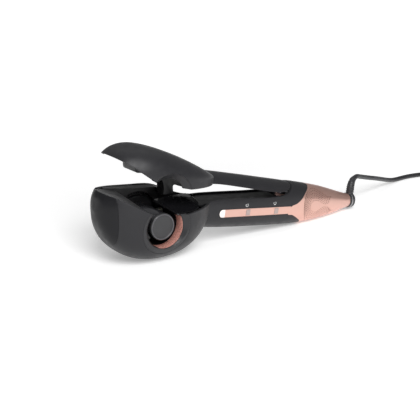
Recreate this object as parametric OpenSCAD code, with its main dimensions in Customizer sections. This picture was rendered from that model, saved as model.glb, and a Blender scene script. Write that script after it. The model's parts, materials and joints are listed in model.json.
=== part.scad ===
// Automatic hair-curling styler: bulbous curling head with a lever-opened lid,
// a heated barrel lying across the head, a hair-winding rotor, and a tapered
// handle that ends in a swivelling mains lead.
// Working frame of the modules: X runs from nose to tail, the barrel axis is Y,
// Z is up, and the origin is the middle of the barrel. place() moves it so that
// the resting surface is Z = 0.

/* [Head] */
// Half length of the head in front of its widest point
head_front = 59; // [56:0.5:62]
// Half length of the head behind its widest point
head_rear = 58; // [55:0.5:60]
// Half width of the head
head_half_w = 36; // [35:0.5:38]
// Depth of the head below its widest line
head_depth = 51.5; // [50:0.5:53]
// Wall thickness of the plastic shells
wall = 2.2; // [1.8:0.1:2.4]

/* [Barrel and chamber] */
// Radius of the heated barrel
barrel_r = 12; // [11.5:0.1:12.2]
// Radius of the barrel's end cap
cap_r = 12.25; // [12.2:0.05:12.6]
// Inner radius of the curling chamber
chamber_r = 18.2; // [18:0.1:18.4]
// Outer radius of the bevel round the side opening
bezel_r = 23.5; // [22.5:0.5:24]

/* [Gears] */
// Gear module
gear_m = 0.9; // [0.9:0.1:0.9]
// Teeth on the rotor's ring gear
ring_teeth = 44; // [44:4:44]
// Teeth on the idler gear
idler_teeth = 12; // [12:4:12]
// Teeth on the motor's pinion
pinion_teeth = 10; // [10:2:10]

/* [Lid] */
// Angle at which the lever and lid stand open, in degrees
lid_open = 8.8; // [0:0.1:9.2]
// Radius of the lever's hinge pin
hinge_r = 2; // [1.8:0.1:2.2]

/* [Controls] */
// Width of each key along the strip
key_w = 4.6; // [4:0.2:5.5]
// Height of the control strip
strip_h = 7.4; // [6.5:0.1:8]

/* [Lead] */
// Outer diameter of the mains lead
cord_d = 5; // [4.8:0.1:5.2]
// Length of the plug's pins
plug_pin_l = 19; // [18.5:0.5:19.5]

/* [Hidden] */

x_mid = 99.1;          // middle of the body's length
floor_z = -34.2;       // resting surface below the barrel axis
ex = 5.5;              // widest point of the head along X
ez = 17.5;             // widest line of the head above the barrel
hinge = [158, 0, 1];   // lever hinge axis
tilt = 7.8;            // slope of the handle and tail axis
tail_end = [243.5, 0, -24.1];
idler_at = [24.95, -4.45];
pinion_at = [33.6, -9.45];
dark = [0.19, 0.19, 0.20];
rose = [0.85, 0.62, 0.52];

// ---------- small helpers ----------
function spow(v, e) = sign(v) * pow(abs(v), e);
function last(a) = a[len(a) - 1];
// index of the interval of table t that holds x
function seg(t, x, i = 0) = i >= len(t) - 2 || x < t[i + 1][0] ? i : seg(t, x, i + 1);
// slope at a table point, from its neighbours
function slope(t, i) =
  let(a = max(i - 1, 0), b = min(i + 1, len(t) - 1)) (t[b][1] - t[a][1]) / (t[b][0] - t[a][0]);
// smooth curve through a table of [x, value]
function smooth(t, x) =
  x <= t[0][0] ? t[0][1] : x >= last(t)[0] ? last(t)[1] :
  let(i = seg(t, x), h = t[i + 1][0] - t[i][0], u = (x - t[i][0]) / h,
      u2 = u * u, u3 = u2 * u)
  t[i][1] * (2 * u3 - 3 * u2 + 1) + slope(t, i) * h * (u3 - 2 * u2 + u)
  + t[i + 1][1] * (3 * u2 - 2 * u3) + slope(t, i + 1) * h * (u3 - u2);

module loft(rings) {
  n = len(rings[0]);
  m = len(rings);
  polyhedron(
    points = [for (r = rings) each r],
    faces = concat(
      [[for (i = [0:n - 1]) i]],
      [for (j = [0:m - 2]) for (i = [0:n - 1]) [j * n + (i + 1) % n, j * n + i, (j + 1) * n + i]],
      [for (j = [0:m - 2]) for (i = [0:n - 1]) [(j + 1) * n + (i + 1) % n, j * n + (i + 1) % n, (j + 1) * n + i]],
      [[for (i = [n - 1:-1:0]) (m - 1) * n + i]]),
    convexity = 8);
}
// a shell assembled from lofted skins is taken as one mesh
module skin() { resize([0, 0, 0]) children(); }
module place() { translate([-x_mid, 0, -floor_z]) children(); }
module opened() { translate(hinge) rotate([0, lid_open, 0]) translate(-hinge) children(); }
module ycyl(r, y0, y1, fn = 64) { translate([0, y1, 0]) rotate([90, 0, 0]) cylinder(r = r, h = y1 - y0, $fn = fn); }
// side-view outline (x, z) swept from y0 to y1
module side(p, y0, y1) { translate([0, y1, 0]) rotate([90, 0, 0]) linear_extrude(y1 - y0) polygon(p); }
module at(x, z) { translate([x, 0, z]) children(); }

// ---------- outer form ----------
function egg_s(x, g) =
  let(a = (x < ex ? head_front : head_rear) - g, u = min(abs(x - ex) / a, 1), p = x < ex ? 2.37 : 2.13)
  sqrt(max(1 - pow(u, p), 0));
function ridge(x) = 27 * (x < -20 ? sqrt(max(1 - pow((-20 - x) / 34, 2.2), 0)) : max(1 - pow((x + 20) / 84, 1.55), 0.03));
function egg_ring(x, g, n) =
  let(s = max(egg_s(x, g), 0.03), w = (head_half_w - g) * s, c = (head_depth - g) * s,
      h = max(ridge(x) - g, 0.6) * min(1, s / 0.35))
  [for (k = [0:n - 1]) let(t = 360 * k / n)
    [x, w * spow(cos(t), 2 / 2.8), ez + (sin(t) < 0 ? c : h) * spow(sin(t), sin(t) < 0 ? 2 / 2.8 : 2 / 2.3)]];
module egg(g = 0, n = 28, m = 18) {
  loft([for (j = [0:m]) let(u = -cos(180 * j / m)) egg_ring(ex + u * ((u < 0 ? head_front : head_rear) - g), g, n)]);
}
top_t = [[40, 23.5], [53, 21.8], [76, 19.5], [100, 17.1], [125, 14.4], [152, 11.4], [165, 9.6],
  [176, 6.6], [189, 3], [202, -1], [216, -6.2], [231, -12.2], [243.5, -17]];
bot_t = [[40, -12], [58, -17.3], [88, -22.8], [113, -26.6], [138, -30.2], [163, -33.2],
  [178, -34.1], [190, -34.2], [204, -34.1], [218, -33.5], [232, -32], [243.5, -31.2]];
wid_t = [[40, 18.5], [60, 18], [150, 18.6], [178, 18.5], [190, 17.6], [205, 15.6], [218, 13.2],
  [232, 9.9], [243.5, 7.3]];
function grip_ring(x, g, n) =
  let(a = smooth(top_t, x) - g, b = smooth(bot_t, x) + g, w = smooth(wid_t, x) - g,
      m = (a + b) / 2, h = (a - b) / 2, e = x < 180 ? 2.4 : 2.4 - (x - 180) / 63.5 * 0.35)
  [for (k = [0:n - 1]) let(t = 360 * k / n) [x, w * spow(cos(t), 2 / e), m + h * spow(sin(t), 2 / e)]];
module grip(g = 0, x0 = 40, x1 = 243.5, n = 28, m = 16) {
  loft([for (j = [0:m]) grip_ring(x0 + (x1 - x0) * j / m, g, n)]);
}
module form(g = 0) { egg(g); grip(g, 40, 243.5); }

// parting line between body and lid, near side, front to rear
part_n = [[-60, 38], [-48.5, 34], [-43.5, 32.2], [-35, 28], [-27, 23.2], [-17.5, 17.7], [-8, 13.5],
  [4, 10.8], [16, 10], [45, 10.5], [65, 10.2], [94, 6.8], [118, 3.6], [136, 1.7], [146, 1.6],
  [153, 3.4], [158.5, 7.2], [162, 12], [163, 20]];
// the far side of the head stands higher round the drive
part_f = [[-60, 38], [-48.5, 34], [-35, 30.5], [-15, 27], [0, 25], [22, 22.5], [38, 16], [50, 11],
  [65, 10.2], [94, 6.8], [118, 3.6], [136, 1.7], [146, 1.6], [153, 3.4], [158.5, 7.2], [162, 12], [163, 20]];
far_y = 19.2;
function shift(p, dz) = [for (q = p) [q[0], q[1] + dz]];
module below(p, y0, y1, dz = 0) { side(concat(shift(p, dz), [[200, 20], [200, -60], [-60, -60]]), y0, y1); }
// region over the parting line, in front of the lever's rounded rear end
lid_n = concat([for (q = part_n) if (q[0] < 140) [q[0], q[1] + 1.2]], [[145, 3.1], [151, 4.8], [156, 8], [158.8, 12], [159.5, 60], [-60, 60]]);
lid_f = concat([for (q = part_f) if (q[0] < 140) [q[0], q[1] + 1.2]], [[145, 3.1], [151, 4.8], [156, 8], [158.8, 12], [159.5, 60], [-60, 60]]);
module body_zone() { below(part_n, -60, far_y + 0.01); below(part_f, far_y, 60); }
module lid_zone() { side(lid_n, -60, far_y); side(lid_f, far_y - 0.01, 60); }
// edge between the dark housing and the metal-look tail, side view
lobe = [[190, 20], [187, 8], [184, 4.5], [180, 3], [172.5, -1], [167, -5.5], [160.5, -9], [154, -10.4],
  [150, -14.2], [150, -18.5], [155.5, -20], [162.5, -24.7], [169.5, -30.8], [173, -40]];
module tail_zone(d = 0) { side(concat([for (q = lobe) [q[0] + d, q[1]]], [[260, -40], [260, 20]]), -40, 40); }
// point on the control strip's centre line, at distance s from its front end
function strip_x(s) = 67 + s * cos(7.7);
function strip_z(s) = -2.5 - s * sin(7.7);
module on_strip(s) { translate([strip_x(s), 0, strip_z(s)]) rotate([0, 7.7, 0]) children(); }
strip_l = 86;
module strip_zone(d = 0) {
  on_strip(0) translate([0, -12, 0]) rotate([90, 0, 0]) linear_extrude(12) union() {
    translate([strip_h / 2, 0]) circle(r = strip_h / 2 + d, $fn = 32);
    translate([strip_h / 2, -strip_h / 2 - d]) square([strip_l - strip_h / 2, strip_h + 2 * d]);
  }
}
module grip_wall(g0, g1, x0, x1) { difference() { grip(g0, x0, x1); grip(g1, x0 - 1, x1 + 1); } }

// ---------- body shells ----------
module housing() {
  difference() {
    intersection() { form(); body_zone(); }
    egg(wall);
    grip(wall, 38, 250);
    tail_zone();
    translate([-92, -50, -60]) cube([50, 100, 120]);
    ycyl(bezel_r + 0.25, -50, -15, 48);
    strip_zone(0.25);
  }
}
module housing_near() { color(dark) skin() intersection() { housing(); translate([-80, -60, -60]) cube([300, 59.95, 120]); } }
screw_at = [[62, -4], [104, -8], [143, -15]];
module housing_far() {
  color(dark) skin() difference() {
    intersection() { housing(); translate([-80, 0.05, -60]) cube([300, 60, 120]); }
    for (p = screw_at) at(p[0], p[1]) ycyl(3, 10, 30, 16);
  }
}
module nose_panel() {
  color([0.13, 0.13, 0.14]) skin() intersection() {
    difference() { egg(); egg(wall); }
    body_zone();
    translate([-92.1, -50, -60]) cube([50, 100, 120]);
  }
}
window_p = [[-31, 8], [-30, 0], [-24, -8], [-20, -18], [-17, -31], [47, -31], [47, 22], [-27, 22]];
module chamber_rim() {
  color(dark) skin() difference() {
    intersection() { egg(wall + 0.1); below(part_n, -60, far_y - 0.3, -0.1); }
    below(part_n, -60, 60, -2.4);
    translate([0, 0, -60]) linear_extrude(120) polygon(window_p);
    ycyl(bezel_r + 0.3, -60, -15, 48);
    translate([19, -60, -60]) cube([60, 120, 120]);
  }
}
function arc(r, a0, a1, n = 24) = [for (i = [0:n]) let(a = a0 + (a1 - a0) * i / n) [r * cos(a), r * sin(a)]];
module chamber_liner() {
  color([0.07, 0.07, 0.08]) union() {
    // cylindrical bed under the barrel
    side(concat(arc(chamber_r + 0.3, 170, 345), arc(chamber_r + 2, 345, 170)), -19.2, 19);
    // front ramp up to the rim
    side([[-19.6, 3], [-28.6, 20.4], [-27.1, 20.2], [-18.3, 3]], -19.2, 19);
    // rear wall below the deck
    side([[chamber_r, -5.4], [chamber_r + 1.7, -5.6], [chamber_r + 1.7, 8], [chamber_r, 8]], -19.2, 2.8);
  }
}
module chamber_ring() {
  color(rose) difference() {
    ycyl(chamber_r + 1.3, -29.6, -19.4, 96);
    ycyl(chamber_r, -31, -19, 96);
    side([[-30, 19], [-17.5, 15.4], [-8, 11.2], [4, 8.6], [16, 7.8], [30, 7.8], [30, 40], [-30, 40]], -31, -19);
  }
}
module opening_bezel() {
  color([0.24, 0.24, 0.25]) skin() difference() {
    intersection() { egg(0.05); ycyl(bezel_r, -40, -24.6, 72); below(part_n, -60, 0, -0.1); }
    ycyl(chamber_r - 0.2, -41, -20, 72);
    // seat round the chamber ring, and room for the deck
    ycyl(chamber_r + 1.45, -29.65, -20, 72);
    translate([0, -29.65, 7.8]) cube([40, 10, 30]);
    translate([0, -29.2, 0]) rotate([90, 0, 0]) cylinder(r1 = chamber_r - 0.3, r2 = bezel_r + 1.6, h = 7.6, $fn = 72);
  }
}
module deck_plate() {
  color([0.04, 0.04, 0.05]) translate([0, -28, 8.4]) rotate([13, 0, 0]) linear_extrude(1.8)
    polygon([[14, 0], [7, 31.5], [24, 31.5], [43, 31.5], [45, 20], [43, 9], [38, 3], [31, 0]]);
}
module lever_tray() {
  color([0.15, 0.15, 0.16]) skin() difference() {
    intersection() { grip(wall + 0.1, 47, 143, 24, 10); below(part_n, -60, 60, -1.6); }
    below(part_n, -60, 60, -3.4);
  }
}

// ---------- barrel and drive ----------
module barrel() {
  color([0.55, 0.55, 0.57]) difference() {
    ycyl(barrel_r, -22.6, 18.9, 96);
    ycyl(barrel_r - 1.4, -23, 20, 96);
  }
}
module barrel_cap() {
  color([0.22, 0.22, 0.23]) difference() {
    union() { ycyl(cap_r - 0.5, -26, -25.2, 96); ycyl(cap_r, -25.4, -22.7, 96); ycyl(barrel_r - 1.5, -22.7, -19, 96); }
    difference() { ycyl(10.7, -27, -25.5, 96); ycyl(10.1, -27, -25.4, 96); }
    ycyl(8.6, -21.6, -18, 64);
  }
}
module barrel_carrier() {
  color([0.1, 0.1, 0.1]) difference() {
    union() { ycyl(10, 19, 27.2, 96); ycyl(14, 26.9, 28.3, 96); }
    ycyl(4, 18, 29, 48);
  }
}
module heater_core() {
  color([0.8, 0.75, 0.65]) difference() {
    ycyl(8, -18.6, 15, 64);
    ycyl(3, -19, 16, 48);
    for (a = [0:90:270]) rotate([0, a, 0]) translate([-0.6, -20, 5]) cube([1.2, 40, 5]);
  }
}
module thermistor() { color([0.9, 0.9, 0.85]) at(0, 9.3) ycyl(0.9, -6, 4, 24); }
// blades of the winding rotor run round the barrel inside the chamber
module rotor() {
  color([0.06, 0.06, 0.06]) union() {
    difference() { ycyl(17.4, 19.5, 26.4, 96); ycyl(10.05, 19, 27, 96); }
    side(concat(arc(13.6, 196, 222, 8), arc(15.8, 222, 196, 8)), -18.5, 19.6);
    side(concat(arc(13.6, 180, 222, 12), arc(15.8, 222, 180, 12)), -21.4, -18.4);
  }
}
function gear_pts(z, m) = [for (i = [0:z - 1]) for (k = [[-0.29, -1.2], [-0.13, 0.95], [0.13, 0.95], [0.29, -1.2]])
  let(a = 360 * (i + k[0]) / z, r = m * z / 2 + k[1] * m) [r * cos(a), r * sin(a)]];
module gear(z, m, y0, y1, bore, ph = 0) {
  difference() {
    translate([0, y1, 0]) rotate([90, 0, 0]) linear_extrude(y1 - y0) rotate(ph) polygon(gear_pts(z, m));
    ycyl(bore, y0 - 1, y1 + 1, 64);
  }
}
// mesh phases: a tooth of one meets a gap of the next on each line of centres
line1 = atan2(idler_at[1], idler_at[0]);
line2 = atan2(pinion_at[1] - idler_at[1], pinion_at[0] - idler_at[0]);
idler_ph = line1 + 180 + 180 / idler_teeth;
module rotor_gear() { color([0.75, 0.72, 0.65]) gear(ring_teeth, gear_m, 22.4, 26, 17.42, line1); }
module idler_gear() { color([0.9, 0.88, 0.8]) at(idler_at[0], idler_at[1]) gear(idler_teeth, gear_m, 20.4, 25.8, 2.05, idler_ph); }
pinion_ph = line2 + 180 + 180 / pinion_teeth
  + (line2 - idler_ph) * idler_teeth / pinion_teeth;
module motor_pinion() {
  color([0.8, 0.7, 0.4]) at(pinion_at[0], pinion_at[1]) {
    gear(pinion_teeth, gear_m, 20.6, 22, 0.9, pinion_ph);
    ycyl(1, 14.3, 22.4, 32);
  }
}
module idler_shaft() { color([0.7, 0.7, 0.72]) at(idler_at[0], idler_at[1]) ycyl(2, 20, 28.3, 48); }
module motor() {
  color([0.6, 0.6, 0.62]) at(pinion_at[0], pinion_at[1]) {
    ycyl(6, -12, 13, 64);
    difference() { ycyl(2.5, 12.9, 14.2, 48); ycyl(1.05, 13.6, 15, 32); }
  }
}
module motor_bracket() {
  color([0.5, 0.5, 0.52]) at(pinion_at[0], pinion_at[1]) difference() {
    translate([-6.5, 14.3, -5.5]) cube([11, 1.6, 11.5]);
    ycyl(1.6, 14, 17, 32);
  }
}
module gear_housing() {
  color([0.12, 0.12, 0.13]) skin() difference() {
    intersection() {
      egg(wall + 0.2);
      below(part_f, far_y + 0.1, 31, -0.2);
      side([[-33, 45], [-33, -10], [-10, -24], [30, -22], [43, -12], [43, 45]], 10, 31);
    }
    ycyl(21.4, 10, 26.8, 48);
    ycyl(14.2, 10, 28.4, 48);
    at(idler_at[0], idler_at[1]) { ycyl(7, 10, 26.6, 32); ycyl(2.1, 10, 28.4, 24); }
    at(pinion_at[0], pinion_at[1]) ycyl(6.2, 10, 24.4, 32);
    side([[-22, -12], [22, -14], [14, -30], [-14, -30]], 10, 26.8);
  }
}

// ---------- lid and lever (drawn closed, then opened about the hinge) ----------
module lid_shell(x0, x1) {
  difference() {
    intersection() { form(); lid_zone(); translate([x0, -50, -20]) cube([x1 - x0, 100, 80]); }
    egg(wall);
    grip(wall, 38, 250);
  }
}
module lid_cut() {
  // the side opening runs up into the lid's near edge
  at(0, 2) ycyl(bezel_r + 0.25, -50, -15, 48);
}
module lid_cover() { color(dark) opened() skin() difference() { lid_shell(-60, 52); lid_cut(); } }
module lever_arm() { color([0.21, 0.21, 0.22]) opened() skin() lid_shell(52.1, 172); }
module lid_bezel() {
  color([0.24, 0.24, 0.25]) opened() skin() difference() {
    intersection() { egg(0.05); at(0, 2) ycyl(bezel_r, -40, -28, 72); side(lid_n, -60, 0); }
    at(0, 2) ycyl(chamber_r + 0.2, -41, -20, 72);
    at(0, 2) translate([0, -29.2, 0]) rotate([90, 0, 0]) cylinder(r1 = chamber_r, r2 = bezel_r + 1.6, h = 7.6, $fn = 72);
  }
}
module lid_liner() {
  color([0.11, 0.11, 0.12]) opened() skin() difference() {
    union() {
      // plate that closes the underside of the lid
      intersection() {
        egg(wall + 0.5, 28, 16);
        difference() { side(lid_n, -60, far_y - 0.5); side(shift(lid_n, 2.2), -61, 61); }
        translate([-60, -60, -20]) cube([108, 120, 100]);
      }
      // bulkhead beside the drive
      intersection() {
        egg(wall + 0.5, 28, 16);
        side(lid_n, far_y - 1.9, far_y - 0.5);
        translate([-60, -60, -20]) cube([108, 120, 100]);
      }
      // stepped nose that drops into the chamber's mouth
      side([[-25.6, 27], [-24.8, 21.8], [-21, 20.4], [-18.5, 16.6], [-13, 16.4], [-13, 24]], -4, 17);
    }
    at(0, 2) ycyl(bezel_r + 0.4, -50, -26, 48);
    ycyl(chamber_r + 0.6, -26.2, 30, 48);
    // slot that the guide shoe passes through
    translate([10, 4.8, 0]) cube([31.6, 12.45, 30]);
    // room for the raised deck
    translate([10, -40, 0]) cube([36, 44.9, 30]);
  }
}
module guide_shoe() {
  color([0.14, 0.14, 0.15]) opened() {
    side(concat(arc(19.2, -9, 78, 16), [[5, 24], [14, 27], [27, 20], [36, 15.6], [41.2, 13.4], [40.8, 4.4], [34, 5.7], [28.4, 6.8], [29.2, 3], [30, 0], [29.4, -2.2]]), 5, 17);
    // flange that rests on the liner
    side([[36, 14], [45, 14], [45, 15.5], [36, 15.6]], 5, 17);
  }
}
module lever_plate() {
  color([0.12, 0.12, 0.13]) opened() skin() intersection() {
    grip(wall + 0.1, 52.6, 157, 32, 14);
    difference() { side(lid_n, -40, 40); side(shift(lid_n, 1.8), -41, 41); }
    translate([52.6, -40, -20]) cube([93, 80, 60]);
  }
}
module lever_knuckle() {
  color([0.5, 0.5, 0.52]) opened() difference() {
    union() {
      translate(hinge) ycyl(4.4, -3, 7.8, 48);
      side([[154.4, 3], [146, 7.2], [146, 8.9], [150, 8.8], [154, 8.2], [156, 7.4], [161, 3]], -3, 4.2);
    }
    translate(hinge) ycyl(hinge_r + 0.05, -4, 9, 64);
  }
}
module hinge_pin() { color([0.75, 0.75, 0.78]) translate(hinge) ycyl(hinge_r, -11.6, 11.6, 64); }
module hinge_bracket() {
  color([0.45, 0.45, 0.47]) difference() {
    union() {
      for (y = [-11.2, 8.3]) { translate(hinge) ycyl(3.6, y, y + 2.9, 48); side([[154.4, 1], [161.6, 1], [165, -10], [151, -10]], y, y + 2.9); }
      side([[151, -12.4], [165, -12.4], [165, -9.9], [151, -9.9]], -11.2, 11.2);
    }
    translate(hinge) ycyl(hinge_r, -14, 14, 64);
  }
}
module lid_spring() {
  color([0.8, 0.8, 0.82]) translate(hinge) {
    for (i = [0:3]) translate([0, -4.2 - i * 1.05, 0]) rotate([90, 0, 0]) rotate_extrude($fn = 48) translate([3.2, 0]) circle(r = 0.5, $fn = 16);
    translate([3.2, -4.2, 0]) rotate([0, 170, 0]) cylinder(r = 0.45, h = 8.5, $fn = 16);
    translate([-3.2, -7.35, 0]) rotate([0, 190, 0]) cylinder(r = 0.45, h = 8.5, $fn = 16);
  }
}
module lid_switch() {
  color([0.1, 0.1, 0.1]) union() {
    translate([60, -3, -6]) cube([12.8, 6, 6.5]);
    translate([64, -1.5, 0.4]) rotate([0, 6, 0]) cube([6, 3, 1]);
  }
}

// ---------- controls ----------
module strip_piece(s0, s1, out, deep, tall = 20) {
  intersection() {
    grip_wall(-out, deep, 60, 160);
    strip_zone();
    on_strip(s0) translate([0, -30, -tall / 2]) cube([s1 - s0, 20, tall]);
  }
}
key1_s = 31;
key2_s = 65.5;
module control_strip() {
  color(rose) skin() difference() {
    strip_piece(6.2, strip_l, 0.15, 1.9);
    for (s = [key1_s, key2_s]) on_strip(s - 0.25) translate([0, -30, -strip_h / 2 + 0.7]) cube([key_w + 0.5, 20, strip_h - 1.4]);
    tail_zone();
  }
}
module light_window() { color([0.95, 0.9, 0.88]) skin() strip_piece(0, 6.1, 0.15, 1.9); }
module timer_key() { color(rose) skin() strip_piece(key1_s, key1_s + key_w, 0.35, 1.9, strip_h - 1.9); }
module heat_key() { color(rose) skin() strip_piece(key2_s, key2_s + key_w, 0.35, 1.9, strip_h - 1.9); }
module key_switches() {
  color([0.2, 0.2, 0.2]) for (s = [key1_s, key2_s]) on_strip(s + key_w / 2) {
    translate([-2.5, -14.2, -2.5]) cube([5, 2.6, 5]);
    translate([0, -14.1, 0]) rotate([90, 0, 0]) cylinder(r = 1.2, h = 0.9, $fn = 24);
  }
}
module circuit_board() { color([0.1, 0.35, 0.2]) on_strip(4) translate([0, -11.5, -5.5]) cube([74, 1.6, 11]); }
module housing_screws() {
  color([0.5, 0.5, 0.52]) for (p = screw_at) at(p[0], p[1]) difference() {
    union() { ycyl(2.6, 13.2, 15.6, 32); ycyl(1.4, 4, 13.3, 32); }
    translate([-0.4, 14.6, -1.6]) cube([0.8, 2, 3.2]);
    translate([-1.6, 14.6, -0.4]) cube([3.2, 2, 0.8]);
  }
}

// ---------- tail and swivelling lead ----------
module tail_shell() {
  color(rose) skin() difference() {
    intersection() { grip(0, 140, 245, 32, 14); tail_zone(0.15); }
    grip(wall, 139, 240.8, 24, 10);
    body_gap();
    rotate_tail() translate([-20, -20, 0]) cube([40, 40, 10]);
    rotate_tail() translate([0, 0, -12]) cylinder(r = 6.7, h = 20, $fn = 40);
  }
}
// room for the rounded rear end of the lever
module body_gap() { side([[120, 4], [146, 1.6], [153, 3.4], [158.5, 7.2], [162, 12], [163, 20], [120, 20]], -40, 40); }
module vent_screen() {
  color([0.05, 0.05, 0.05]) skin() difference() {
    grip(wall + 0.2, 186, 226, 24, 6);
    grip(wall + 1.2, 185, 227, 24, 6);
  }
}
module rotate_tail() { translate(tail_end) rotate([0, 90 + tilt, 0]) children(); }
module swivel_socket() {
  color([0.1, 0.1, 0.1]) rotate_tail() difference() {
    translate([0, 0, -9.6]) cylinder(r = 6.5, h = 9.2, $fn = 64);
    translate([0, 0, -10]) cylinder(r = 4.5, h = 12, $fn = 64);
  }
}
module swivel_collar() {
  color([0.12, 0.12, 0.13]) rotate_tail() difference() {
    union() {
      translate([0, 0, 0.3]) cylinder(r = 7.4, h = 0.8, $fn = 64);
      translate([0, 0, 0.9]) cylinder(r = 7.9, h = 5.6, $fn = 64);
      translate([0, 0, 6.4]) cylinder(r = 6.9, h = 1, $fn = 64);
      translate([0, 0, -9]) cylinder(r = 4.45, h = 9.5, $fn = 64);
    }
    translate([0, 0, 2.4]) difference() { cylinder(r = 9, h = 1.1, $fn = 64); translate([0, 0, -1]) cylinder(r = 7.5, h = 3, $fn = 64); }
    translate([0, 0, 4.2]) rotate([0, -90, 0]) cylinder(r = 4.4, h = 12, $fn = 48);
  }
}
module swivel_ring() {
  color([0.6, 0.6, 0.6]) rotate_tail() translate([0, 0, 2.5]) difference() {
    cylinder(r = 8.0, h = 0.9, $fn = 64);
    translate([0, 0, -1]) cylinder(r = 7.55, h = 3, $fn = 64);
    translate([0, 0, 1.7]) rotate([0, -90, 0]) cylinder(r = 4.5, h = 12, $fn = 48);
  }
}
// the boot bends from the swivel towards the way the lead leaves
boot_c = [[248.2, 0, -20.7], [249.1, 0, -15.6], [249.9, 0.2, -11.2], [251.5, 0.9, -7.7], [254.1, 2.2, -5.2], [257.2, 3.8, -4.2]];
boot_r = [3.9, 4.2, 4.15, 3.85, 3.4, 2.95];
module cord_boot() {
  color([0.1, 0.1, 0.1]) for (i = [0:4]) hull() {
    translate(boot_c[i]) sphere(r = boot_r[i], $fn = 28);
    translate(boot_c[i + 1]) sphere(r = boot_r[i + 1], $fn = 28);
  }
}
// route of the lead, from the boot to the coil
route = [[260.4, 5.35, -3.75], [264, 7, -3.5], [268.5, 8.9, -4.3], [274, 11, -6], [281, 13.6, -8.1], [291, 17.4, -11.1],
  [303, 22, -14.6], [316, 27.2, -18.4], [329, 32.2, -22.4], [342, 37, -26.4], [354, 41, -29.5], [365, 44, -31.2], [376, 45.8, -31.7],
  [388, 46.2, -31.7], [400, 44.8, -31.7], [412, 42, -31.7], [423, 39.8, -31.7], [432, 39.2, -31.7]];
tail_route = [[432, -34.6, -31.2], [426, -35, -30.6], [420, -35.2, -29.4], [414, -35.3, -28.2], [409.8, -35.3, -27.6]];
coil_at = [432, 2];
function unit(v) = v / norm(v);
function tangent(p, i) = unit(p[min(i + 1, len(p) - 1)] - p[max(i - 1, 0)]);
// points of a smooth curve through p, k steps a span
function spline(p, k) = concat([for (i = [0:len(p) - 2]) let(a = p[max(i - 1, 0)], b = p[i], c = p[i + 1], d = p[min(i + 2, len(p) - 1)])
  for (j = [0:k - 1]) let(t = j / k) 0.5 * (2 * b + (c - a) * t + (2 * a - 5 * b + 4 * c - d) * t * t + (3 * b - a - 3 * c + d) * t * t * t)], [last(p)]);
module tube(p, r, n) {
  loft([for (i = [0:len(p) - 1]) let(t = tangent(p, i), s = unit(cross([0, 0, 1], t)), u = cross(t, s))
    [for (k = [0:n - 1]) let(a = 360 * k / n) p[i] + r * (cos(a) * s + sin(a) * u)]]);
}
module cord() { color([0.06, 0.06, 0.06]) tube(spline(route, 1), cord_d / 2, 10); }
module cord_tail() { color([0.06, 0.06, 0.06]) tube(tail_route, cord_d / 2, 10); }
module cord_coil() {
  color([0.06, 0.06, 0.06]) translate([coil_at[0], coil_at[1], floor_z]) rotate_extrude($fn = 96)
    polygon([[18, 1], [19, 0], [36, 0], [37, 1], [37, 17.6], [36, 18.6], [19, 18.6], [18, 17.6]]);
}
module cord_tie() {
  color([0.3, 0.3, 0.3]) translate([coil_at[0], coil_at[1], floor_z]) rotate([0, 0, 20]) difference() {
    translate([17, -2.5, 0.01]) cube([21, 5, 19.8]);
    translate([17.8, -3, -1]) cube([19.4, 6, 19.7]);
  }
}
module plug_body() {
  color([0.08, 0.08, 0.08]) translate([0, -35.3, -27.3]) difference() {
    union() {
      hull() for (z = [-3.2, 3.2]) { translate([366, -14, z]) rotate([0, 90, 0]) cylinder(r = 3.6, h = 14, $fn = 32); translate([366, 14, z]) rotate([0, 90, 0]) cylinder(r = 3.6, h = 14, $fn = 32); }
      hull() { translate([379.5, -15, -5]) cube([1, 30, 10]); translate([395, -5, -4.4]) cube([1, 10, 8.8]); }
      translate([395.5, 0, 0]) rotate([0, 90, 0]) cylinder(r1 = 4.4, r2 = 3.2, h = 14, $fn = 40);
    }
    for (y = [-9.5, 9.5]) translate([360, y, 0]) rotate([0, 90, 0]) cylinder(r = 1.7, h = 16, $fn = 40);
  }
}
module plug_pins() {
  color([0.8, 0.8, 0.75]) for (y = [-9.5, 9.5]) translate([366 - plug_pin_l, -35.3 + y, -27.3]) rotate([0, 90, 0]) union() {
    translate([0, 0, 1]) cylinder(r = 2, h = plug_pin_l - 2, $fn = 40);
    translate([0, 0, 2]) cylinder(r = 1.7, h = plug_pin_l + 6, $fn = 40);
    cylinder(r1 = 1.2, r2 = 2, h = 1, $fn = 40);
  }
}

place() {
housing_near();
housing_far();
nose_panel();
chamber_rim();
chamber_liner();
chamber_ring();
opening_bezel();
deck_plate();
barrel();
barrel_cap();
barrel_carrier();
heater_core();
thermistor();
rotor();
rotor_gear();
idler_gear();
idler_shaft();
motor();
motor_bracket();
motor_pinion();
gear_housing();
lid_cover();
lid_liner();
lid_bezel();
guide_shoe();
lever_arm();
lever_plate();
lever_knuckle();
hinge_pin();
hinge_bracket();
lid_spring();
lid_switch();
lever_tray();
control_strip();
light_window();
timer_key();
heat_key();
key_switches();
circuit_board();
housing_screws();
tail_shell();
vent_screen();
swivel_socket();
swivel_collar();
swivel_ring();
cord_boot();
cord();
cord_coil();
cord_tie();
cord_tail();
plug_body();
plug_pins();
}
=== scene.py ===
import bpy, bmesh, json, random
import numpy as np
from math import sin, cos, tan, pi, radians, sqrt, atan2, hypot
from mathutils import Vector, Matrix
from mathutils.bvhtree import BVHTree


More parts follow.
